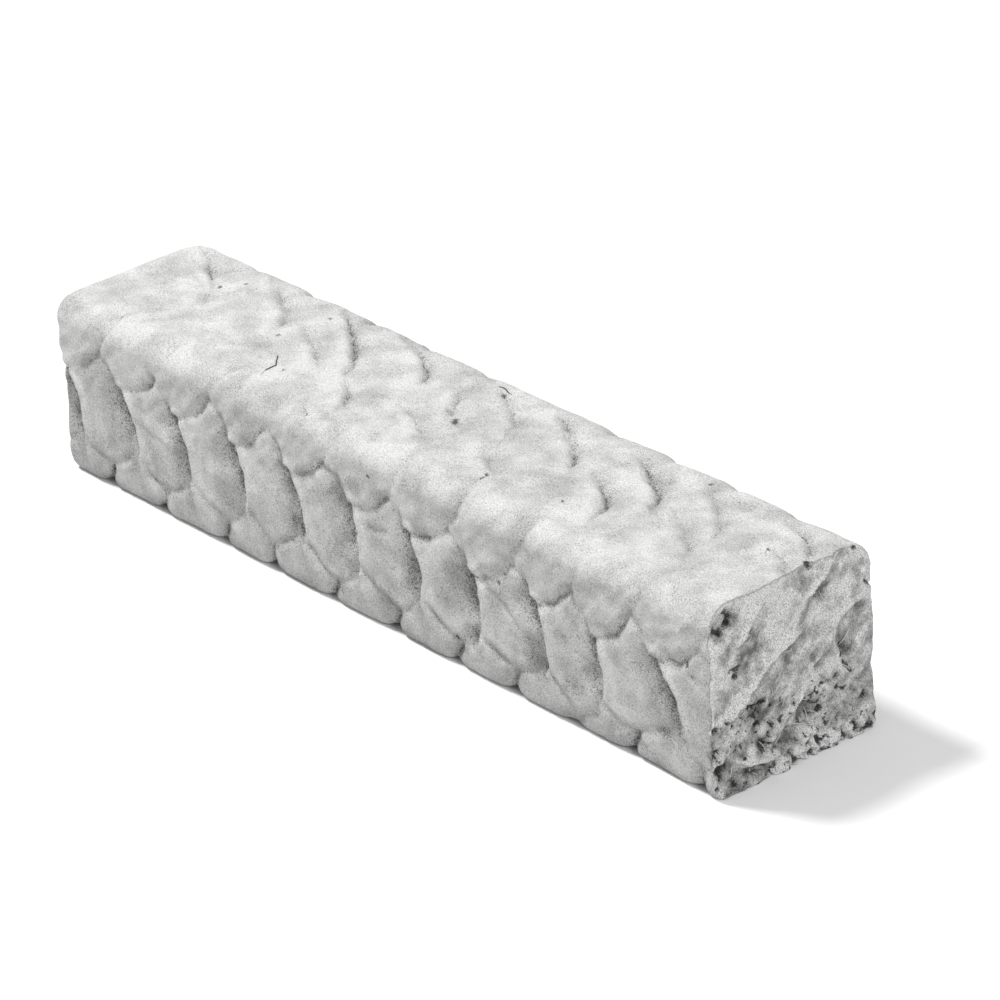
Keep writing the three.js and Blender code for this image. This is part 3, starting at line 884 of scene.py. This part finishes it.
# The studio: a plain pale floor that keeps the shadow, a soft lamp above and to the left of the camera, a
# weaker one that faces the cut end, and even pale air all round. The floor lies a twentieth of a millimetre
# low, so that it and the underside don't share a plane.
FLOOR_GAP = 0.00005
floor_mesh = bpy.data.meshes.new("floor")
floor_mesh.from_pydata([(-3, -3, 0), (3, -3, 0), (3, 3, 0), (-3, 3, 0)], [], [(0, 1, 2, 3)])
floor = bpy.data.objects.new("floor", floor_mesh)
bpy.context.scene.collection.objects.link(floor)
floor.location.z = -FLOOR_GAP
paper, paper_shader = new_material("white_paper")
seen = add(paper.node_tree, "ShaderNodeLightPath")
paper_colour = add(paper.node_tree, "ShaderNodeMix",
                   {".data_type": "RGBA", "6": linear("#c0c0c0"), "7": linear("#ffffff")},
                   {"0": seen.outputs["Is Camera Ray"]})
paper.node_tree.links.new(paper_colour.outputs[2], paper_shader.inputs["Base Color"])
paper_shader.inputs["Roughness"].default_value = 1
paper_shader.inputs["Specular IOR Level"].default_value = 0
floor_mesh.materials.append(paper)

world = bpy.data.worlds.new("studio_air")
bpy.context.scene.world = world
world.use_nodes = True
air = world.node_tree
air_light = air.nodes["Background"]
air_light.inputs["Color"].default_value = linear("#ffffff")
air_light.inputs["Strength"].default_value = 0.43
white = add(air, "ShaderNodeBackground", {"Color": linear("#ffffff"), "Strength": 1})
path = add(air, "ShaderNodeLightPath")
shown = add(air, "ShaderNodeMath", {".operation": "MAXIMUM"},
            {"0": path.outputs["Is Camera Ray"], "1": path.outputs["Is Glossy Ray"]})
shown = add(air, "ShaderNodeMath", {".operation": "MAXIMUM"},
            {"0": shown.outputs[0], "1": path.outputs["Is Transmission Ray"]})
mixed = add(air, "ShaderNodeMixShader", {}, {"0": shown.outputs[0], "1": air_light.outputs[0],
                                             "2": white.outputs[0]})
air.links.new(mixed.outputs[0], air.nodes["World Output"].inputs["Surface"])


def add_lamp(name, place, size, energy):
    """A round soft lamp that faces the packing."""
    data = bpy.data.lights.new(name, "AREA")
    data.shape = "DISK"
    data.size = size
    data.energy = energy
    lamp = bpy.data.objects.new(name, data)
    bpy.context.scene.collection.objects.link(lamp)
    lamp.location = place
    lamp.rotation_euler = (Vector((0, 0, 0.012)) - lamp.location).to_track_quat("-Z", "Y").to_euler()


add_lamp("key_lamp", Vector((-0.38, -0.16, 0.68)), 0.2, 5.7)
add_lamp("fill_lamp", Vector((0.68, -0.16, 0.38)), 0.3, 2.8)

# The camera, at the photograph's viewing angle: far off with a long lens, and aimed between the packing's
# middle and its cut end.
IMAGE_SIDE = 1000
FOCAL_PIXELS = 5284
AZIMUTH = math.radians(50.1)
ELEVATION = math.radians(27.27)
ROLL = math.radians(-3)
DISTANCE = 0.625
TARGET = Vector((0.01025, 0, 0.01575))
camera_data = bpy.data.cameras.new("camera")
camera_data.sensor_width = 36
camera_data.lens = FOCAL_PIXELS * camera_data.sensor_width / IMAGE_SIDE
camera = bpy.data.objects.new("camera", camera_data)
bpy.context.scene.collection.objects.link(camera)
turn = Matrix.Rotation(AZIMUTH, 4, "Z") @ Matrix.Rotation(math.pi / 2 - ELEVATION, 4, "X")
camera.matrix_world = Matrix.Translation(TARGET) @ turn @ Matrix.Translation((0, 0, DISTANCE)) \
    @ Matrix.Rotation(ROLL, 4, "Z")
bpy.context.scene.camera = camera
bpy.context.scene.view_settings.view_transform = "Standard"

bpy.context.view_layer.update()
